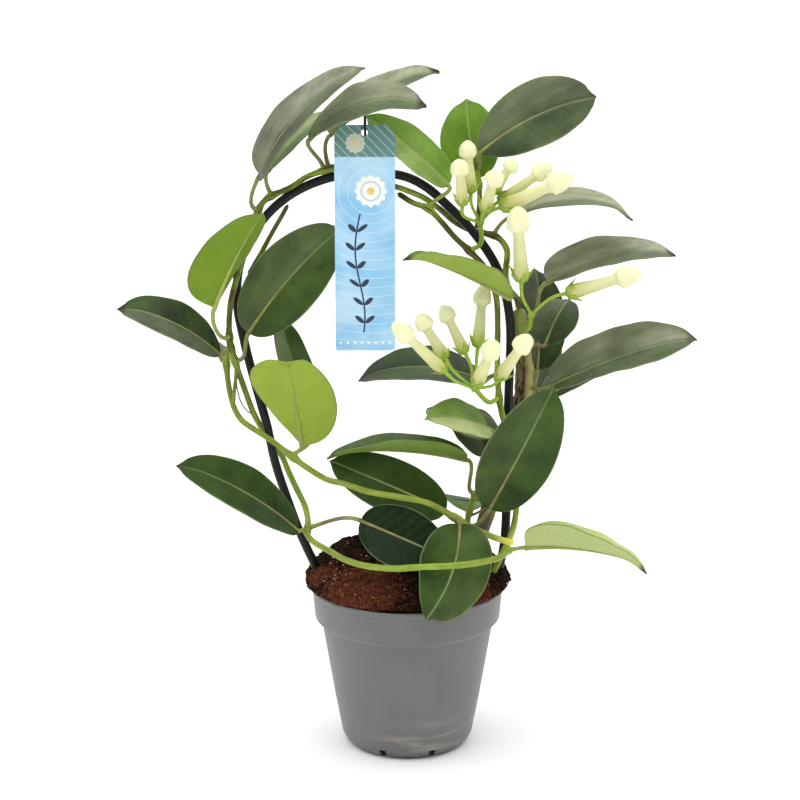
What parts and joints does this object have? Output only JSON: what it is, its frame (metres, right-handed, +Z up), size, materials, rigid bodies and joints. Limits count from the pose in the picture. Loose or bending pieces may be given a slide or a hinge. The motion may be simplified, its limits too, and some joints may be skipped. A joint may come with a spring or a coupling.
{
  "type": "potted madagascar jasmine",
  "caption": "Twining waxflower plant with leathery oval leaves and waxy cream buds, trained round a hoop that stands in a grower's pot, with a blank hang tag.",
  "frame": {"origin": "centre of the pot's flat underside, on the surface that it stands on", "axes": "+Z up the pot's axis, +X to the right along the plane of the hoop as seen from the front, -Y towards the front where the tag hangs"},
  "size_m": [0.3369, 0.144, 0.4223],
  "materials": {
    "pot": "matt moulded grey polypropylene",
    "soil": "moist peat and coir with bark chips; wood stands in for it, being nearest in density",
    "hoop": "black plastic sleeve on a wire core",
    "woody_stem": "brown ribbed bark of the oldest stem",
    "vine_front": "green stem; wood stands in for the living tissue",
    "vine_cross": "green stem; wood stands in for the living tissue",
    "vine_left_tip": "green stem; wood stands in for the living tissue",
    "vine_right_loop": "green stem; wood stands in for the living tissue",
    "vine_right_pole": "green stem; wood stands in for the living tissue",
    "shoot_middle": "green stem; wood stands in for the living tissue",
    "shoot_top": "green stem; wood stands in for the living tissue",
    "leaf_top_1": "leathery dark green leaf with a waxy skin; leather stands in for it",
    "leaf_top_2": "leathery dark green leaf with a waxy skin; leather stands in for it",
    "leaf_top_3": "leathery dark green leaf with a waxy skin; leather stands in for it",
    "leaf_top_4": "leathery dark green leaf with a waxy skin; leather stands in for it",
    "leaf_top_5": "leathery light green leaf; leather stands in for it",
    "leaf_top_6": "leathery dark green leaf with a waxy skin; leather stands in for it",
    "leaf_top_7": "leathery light green leaf; leather stands in for it",
    "leaf_left_1": "leathery light green leaf; leather stands in for it",
    "leaf_left_2": "leathery dark green leaf with a waxy skin; leather stands in for it",
    "leaf_left_3": "leathery dark green leaf with a waxy skin; leather stands in for it",
    "leaf_left_4": "leathery dark green leaf with a waxy skin; leather stands in for it",
    "leaf_left_5": "leathery dark green leaf with a waxy skin; leather stands in for it",
    "leaf_left_6": "leathery light green leaf; leather stands in for it",
    "leaf_left_7": "leathery dark green leaf with a waxy skin; leather stands in for it",
    "leaf_low_1": "leathery dark green leaf with a waxy skin; leather stands in for it",
    "leaf_low_2": "leathery dark green leaf with a waxy skin; leather stands in for it",
    "leaf_low_3": "leathery dark green leaf with a waxy skin; leather stands in for it",
    "leaf_low_4": "leathery dark green leaf with a waxy skin; leather stands in for it",
    "leaf_low_5": "leathery dark green leaf with a waxy skin; leather stands in for it",
    "leaf_low_6": "leathery light green leaf; leather stands in for it",
    "leaf_right_1": "leathery dark green leaf with a waxy skin; leather stands in for it",
    "leaf_right_2": "leathery dark green leaf with a waxy skin; leather stands in for it",
    "leaf_right_3": "leathery dark green leaf with a waxy skin; leather stands in for it",
    "leaf_right_4": "leathery dark green leaf with a waxy skin; leather stands in for it",
    "leaf_right_5": "leathery light green leaf; leather stands in for it",
    "leaf_right_6": "leathery dark green leaf with a waxy skin; leather stands in for it",
    "leaf_right_7": "leathery dark green leaf with a waxy skin; leather stands in for it",
    "leaf_right_8": "leathery dark green leaf with a waxy skin; leather stands in for it",
    "leaf_mid_1": "leathery dark green leaf with a waxy skin; leather stands in for it",
    "leaf_mid_2": "leathery light green leaf; leather stands in for it",
    "leaf_mid_3": "leathery dark green leaf with a waxy skin; leather stands in for it",
    "leaf_mid_4": "leathery dark green leaf with a waxy skin; leather stands in for it",
    "leaf_mid_5": "leathery dark green leaf with a waxy skin; leather stands in for it",
    "buds_top": "waxy cream buds on green stalks; leather stands in for them",
    "buds_right": "waxy cream buds on green stalks; leather stands in for them",
    "buds_middle": "waxy cream buds on green stalks; leather stands in for them",
    "tag": "coated pale blue card",
    "tag_clip": "black plastic wire"
  },
  "bodies": {
    "root": {"pot": "pot", "soil": "soil", "hoop": "hoop", "woody_stem": "woody_stem", "vine_front": "vine_front", "vine_cross": "vine_cross", "vine_left_tip": "vine_left_tip", "vine_right_loop": "vine_right_loop", "vine_right_pole": "vine_right_pole", "shoot_middle": "shoot_middle", "shoot_top": "shoot_top", "leaf_top_1": "leaf_top_1", "leaf_top_2": "leaf_top_2", "leaf_top_3": "leaf_top_3", "leaf_top_4": "leaf_top_4", "leaf_top_5": "leaf_top_5", "leaf_top_6": "leaf_top_6", "leaf_top_7": "leaf_top_7", "leaf_left_1": "leaf_left_1", "leaf_left_2": "leaf_left_2", "leaf_left_3": "leaf_left_3", "leaf_left_4": "leaf_left_4", "leaf_left_5": "leaf_left_5", "leaf_left_6": "leaf_left_6", "leaf_left_7": "leaf_left_7", "leaf_low_1": "leaf_low_1", "leaf_low_2": "leaf_low_2", "leaf_low_3": "leaf_low_3", "leaf_low_4": "leaf_low_4", "leaf_low_5": "leaf_low_5", "leaf_low_6": "leaf_low_6", "leaf_right_1": "leaf_right_1", "leaf_right_2": "leaf_right_2", "leaf_right_3": "leaf_right_3", "leaf_right_4": "leaf_right_4", "leaf_right_5": "leaf_right_5", "leaf_right_6": "leaf_right_6", "leaf_right_7": "leaf_right_7", "leaf_right_8": "leaf_right_8", "leaf_mid_1": "leaf_mid_1", "leaf_mid_2": "leaf_mid_2", "leaf_mid_3": "leaf_mid_3", "leaf_mid_4": "leaf_mid_4", "leaf_mid_5": "leaf_mid_5", "buds_top": "buds_top", "buds_right": "buds_right", "buds_middle": "buds_middle", "tag": "tag", "tag_clip": "tag_clip"}
  },
  "joints": []
}
